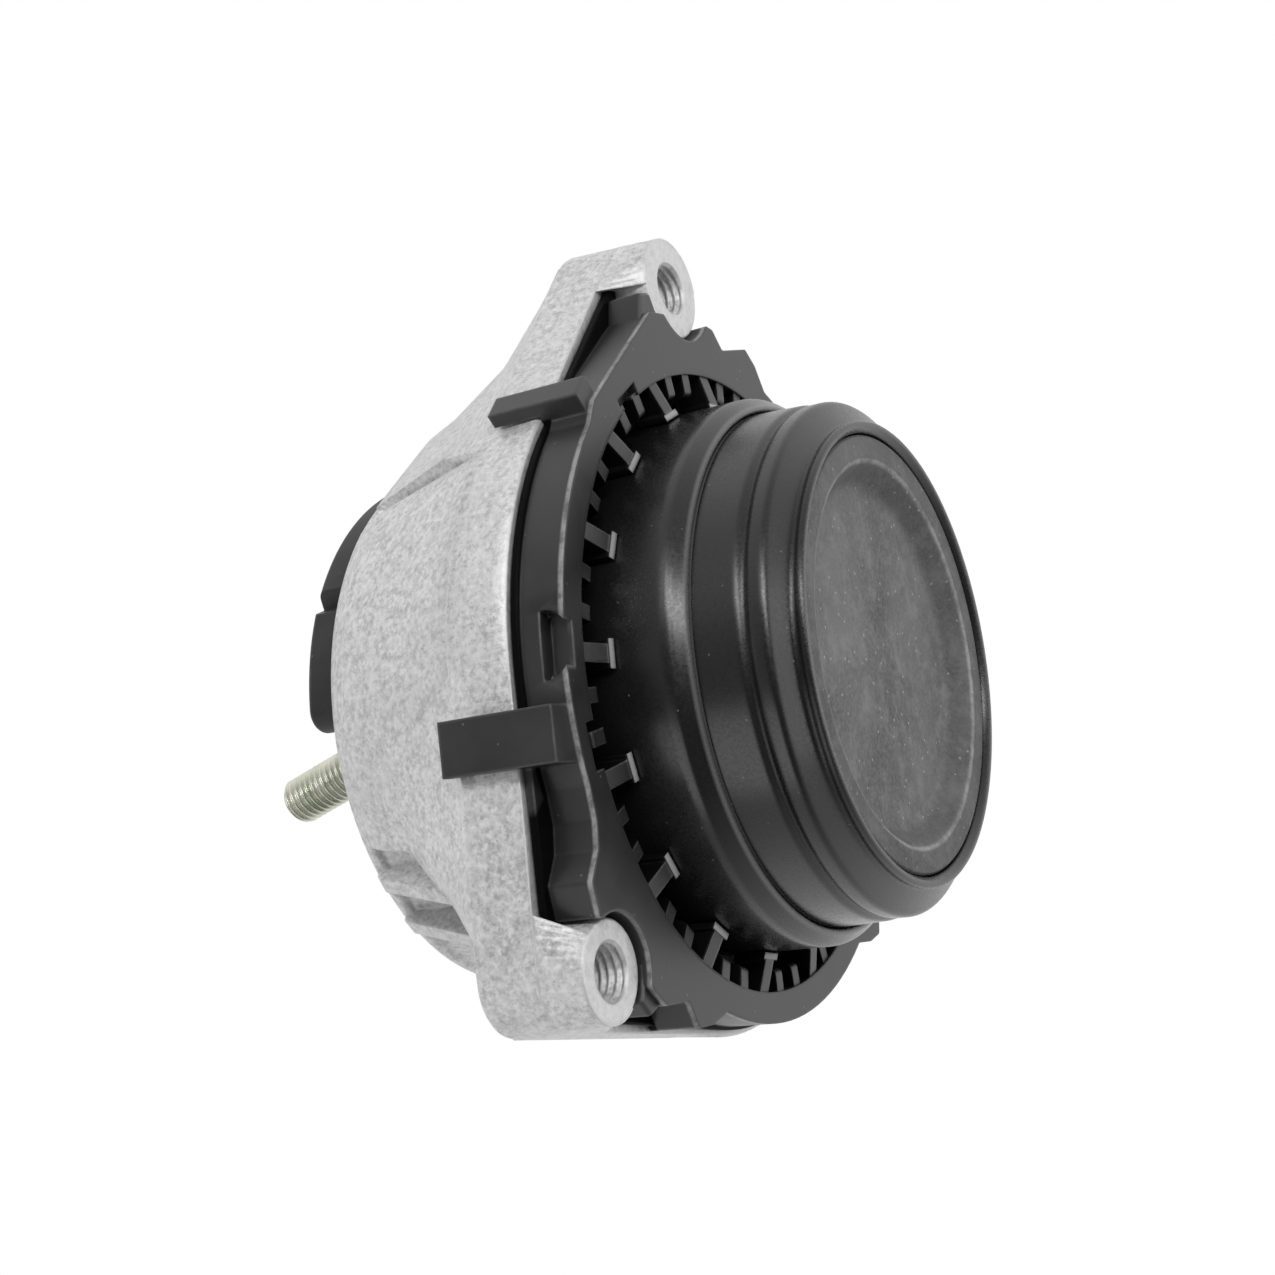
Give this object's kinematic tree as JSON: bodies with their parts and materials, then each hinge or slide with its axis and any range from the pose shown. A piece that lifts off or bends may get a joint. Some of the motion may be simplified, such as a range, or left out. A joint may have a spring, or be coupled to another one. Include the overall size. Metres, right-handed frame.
{
  "type": "hydraulic engine mount",
  "caption": "Hydraulic engine mount: rubber-sprung core with a leaning stud in an eared cast housing over a stepped canister, held by a ribbed retaining ring.",
  "frame": {"origin": "centre of the canister's foot rim, in the plane the rim stands on", "axes": "+Z along the canister towards the stud end, +X towards the single upper ear, +Y completes a right-handed frame"},
  "size_m": [0.1501, 0.1428, 0.1442],
  "materials": {
    "cast_aluminium": "cast, satin",
    "ring_plastic": "satin moulded",
    "black_sheet": "satin black coat",
    "cap_rubber": "matte, dusty",
    "inner_rubber": "matte",
    "plate_alloy": "cast",
    "spring_rubber": "matte",
    "core_alloy": "cast",
    "zinc_steel": "yellow-green zinc plate",
    "stop_rubber": "matte, worn"
  },
  "bodies": {
    "root": {"housing": "cast_aluminium", "retaining_ring": "ring_plastic", "canister_barrel": "black_sheet", "base_cup": "black_sheet", "end_cap": "cap_rubber", "rolling_diaphragm": "inner_rubber", "lower_channel_plate": "plate_alloy", "upper_channel_plate": "plate_alloy", "decoupler_disc": "inner_rubber", "spring_outer_ring": "black_sheet", "spring_rubber": "spring_rubber", "inner_core": "core_alloy", "stop_plate": "zinc_steel", "stop_cover": "stop_rubber", "stud": "zinc_steel"}
  },
  "joints": []
}
